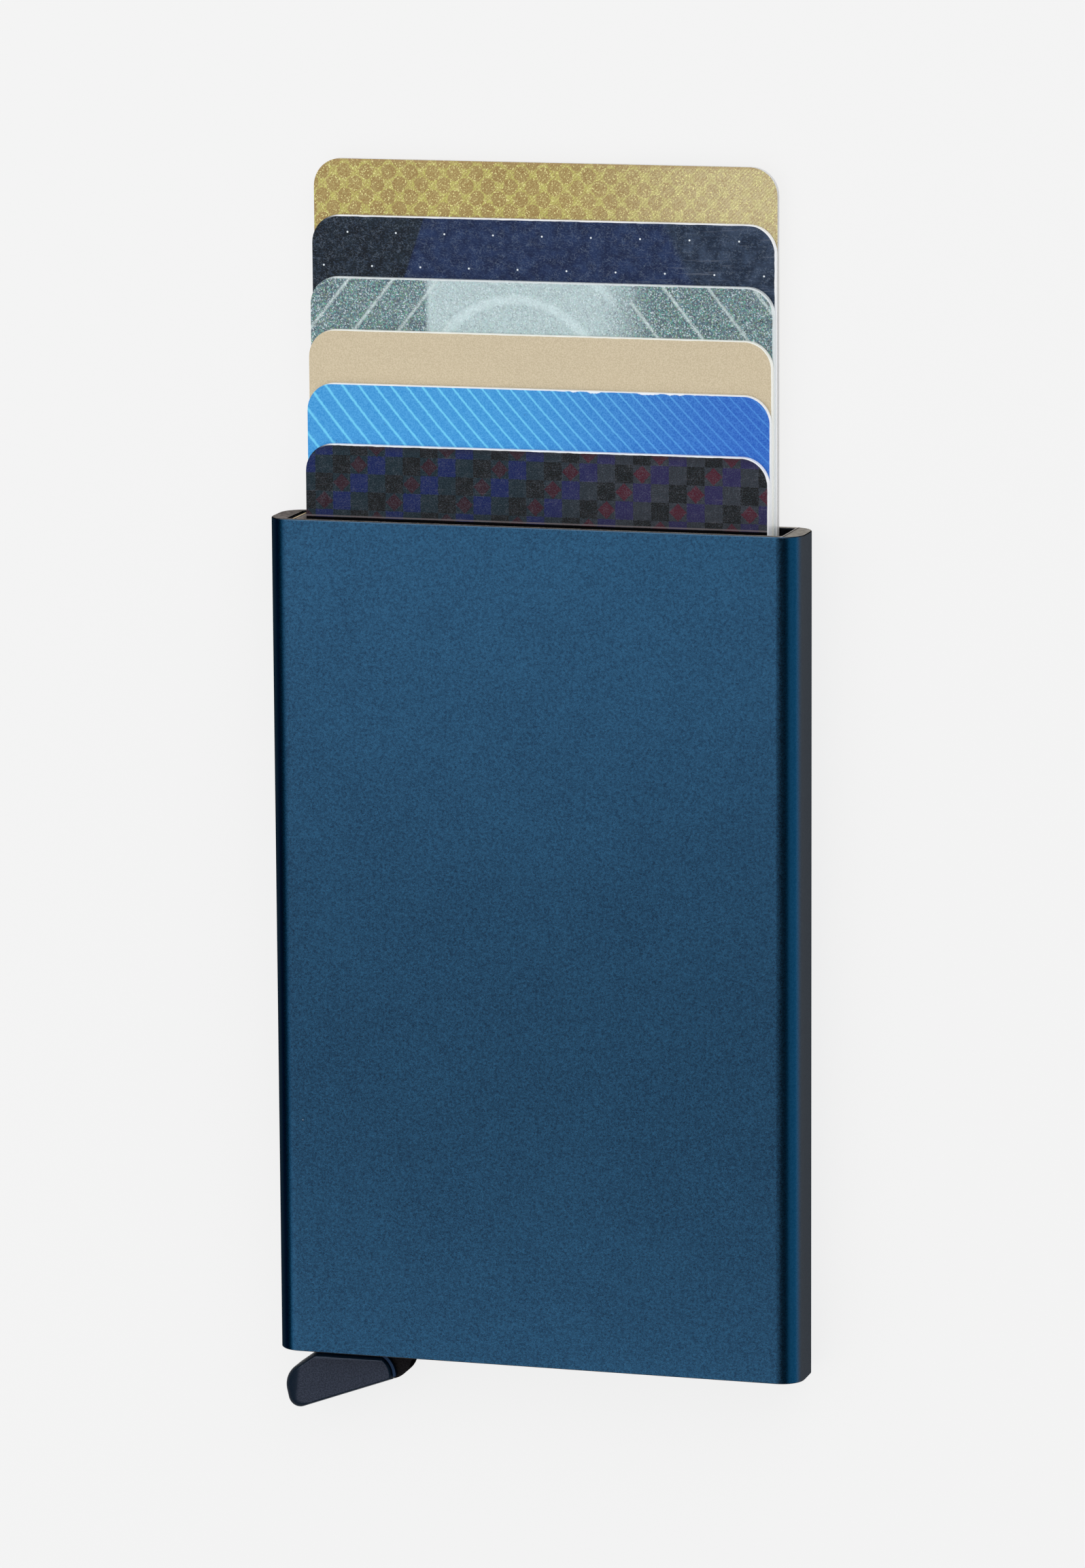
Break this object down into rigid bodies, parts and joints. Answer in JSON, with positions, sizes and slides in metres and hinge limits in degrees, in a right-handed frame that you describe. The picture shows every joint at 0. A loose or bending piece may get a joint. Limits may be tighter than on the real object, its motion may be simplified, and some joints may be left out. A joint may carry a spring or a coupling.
{
  "type": "card holder",
  "caption": "Slim pocket card holder: rounded aluminium sleeve, finger lever at the foot, and a fan of plastic cards raised out of its mouth.",
  "frame": {"origin": "middle of the sleeve's flat back face", "axes": "+X across the holder, to the right seen from its front; +Y along it towards the card mouth; +Z through it, out of its front face"},
  "size_m": [0.0624, 0.1448, 0.008],
  "materials": {
    "blue_anodised": "fine matt blue anodising over a blasted extrusion",
    "black_housing": "moulded, fine matt texture",
    "black_lever": "moulded, satin",
    "navy_pad": "moulded, fine spark texture",
    "steel_pin": "ground",
    "golden_leaf": "rolled strip",
    "brown_felt": "short felt",
    "gold_print": "laminated plastic card, gold glitter print, white edges",
    "navy_print": "laminated plastic card, dark navy print, white edges",
    "silver_print": "laminated plastic card, silver glitter print, white edges",
    "sand_print": "laminated plastic card, plain sand print, white edges",
    "blue_print": "laminated plastic card, blue print, white edges",
    "dark_print": "laminated plastic card, dark chequered print, white edges",
    "gold_contacts": "gold-plated contact plate"
  },
  "bodies": {
    "case": {"case_sleeve": "blue_anodised", "base_housing_rear": "black_housing", "base_housing_front": "black_housing", "pivot_pin": "steel_pin", "side_spring": "golden_leaf", "side_felt_left": "brown_felt", "side_felt_right": "brown_felt"},
    "lever": {"lever_arm": "black_lever", "finger_pad": "navy_pad"},
    "card_gold": {"card_gold": "gold_print", "chip_gold": "gold_contacts"},
    "card_navy": {"card_navy": "navy_print", "chip_navy": "gold_contacts"},
    "card_silver": {"card_silver": "silver_print", "chip_silver": "gold_contacts"},
    "card_sand": {"card_sand": "sand_print"},
    "card_blue": {"card_blue": "blue_print", "chip_blue": "gold_contacts"},
    "card_dark": {"card_dark": "dark_print", "chip_dark": "gold_contacts"}
  },
  "joints": [
    {"name": "gold_card_slide", "type": "slide", "parent": "case", "child": "card_gold", "axis": [0, 1, 0], "range_m": [-0.0424, 0]},
    {"name": "navy_card_slide", "type": "slide", "parent": "case", "child": "card_navy", "axis": [0, 1, 0], "range_m": [-0.0361, 0]},
    {"name": "silver_card_slide", "type": "slide", "parent": "case", "child": "card_silver", "axis": [0, 1, 0], "range_m": [-0.0292, 0]},
    {"name": "sand_card_slide", "type": "slide", "parent": "case", "child": "card_sand", "axis": [0, 1, 0], "range_m": [-0.0233, 0]},
    {"name": "blue_card_slide", "type": "slide", "parent": "case", "child": "card_blue", "axis": [0, 1, 0], "range_m": [-0.0173, 0]},
    {"name": "dark_card_slide", "type": "slide", "parent": "case", "child": "card_dark", "axis": [0, 1, 0], "range_m": [-0.0105, 0]},
    {"name": "lever_hinge", "type": "hinge", "parent": "case", "child": "lever", "pos_m": [-0.0178, -0.0471, 0.004], "axis": [0, 0, 1], "range_deg": [-19.5, 0]}
  ],
  "couplings": [
    {"joint": "navy_card_slide", "follows": "gold_card_slide", "ratio": 0.85142},
    {"joint": "silver_card_slide", "follows": "gold_card_slide", "ratio": 0.68868},
    {"joint": "sand_card_slide", "follows": "gold_card_slide", "ratio": 0.54953},
    {"joint": "blue_card_slide", "follows": "gold_card_slide", "ratio": 0.40802},
    {"joint": "dark_card_slide", "follows": "gold_card_slide", "ratio": 0.24764},
    {"joint": "lever_hinge", "follows": "gold_card_slide", "rad_per_m": 8.0268}
  ]
}
